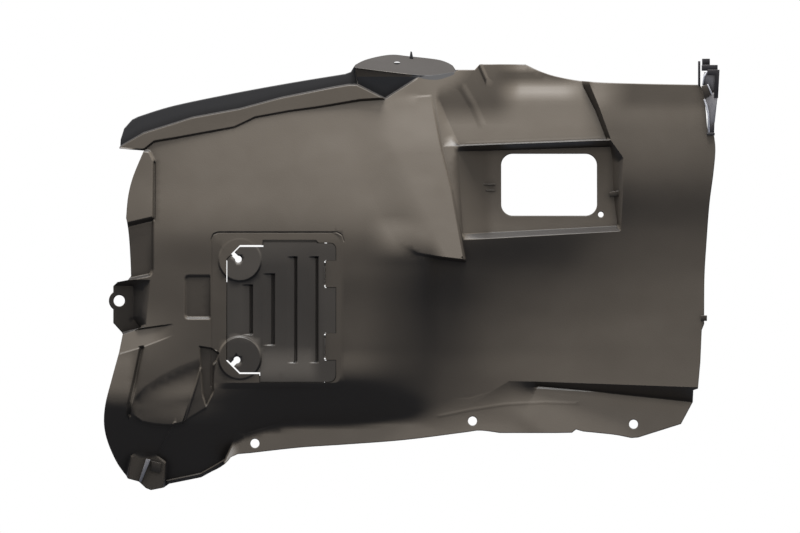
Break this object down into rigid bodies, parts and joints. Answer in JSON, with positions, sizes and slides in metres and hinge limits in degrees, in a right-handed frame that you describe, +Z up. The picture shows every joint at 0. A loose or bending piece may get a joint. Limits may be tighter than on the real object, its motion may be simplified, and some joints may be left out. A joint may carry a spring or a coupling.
{
  "type": "wheel arch liner",
  "caption": "Thin moulded plastic wheel arch liner with curved barrel, recessed duct window, lower fixing rail with holes and a hinged service flap",
  "frame": {"origin": "centre of the middle hole of the lower fixing rail, on the rail's face", "axes": "+X along the liner's length to the right as seen from its outer side, +Y from the outer side through the sheet to the wheel side, +Z up"},
  "size_m": [0.6153, 0.1312, 0.44],
  "materials": {
    "liner_plastic": "satin black moulded polypropylene with fine grain",
    "flap_plastic": "satin black moulded polypropylene with fine grain"
  },
  "bodies": {
    "liner": {"liner_shell": "liner_plastic"},
    "flap": {"service_flap": "flap_plastic"}
  },
  "joints": [
    {"name": "flap_hinge", "type": "hinge", "parent": "liner", "child": "flap", "pos_m": [-0.1475, -0.01792, 0.111], "axis": [0, -0.124, -0.9923], "range_deg": [0, 100]}
  ]
}
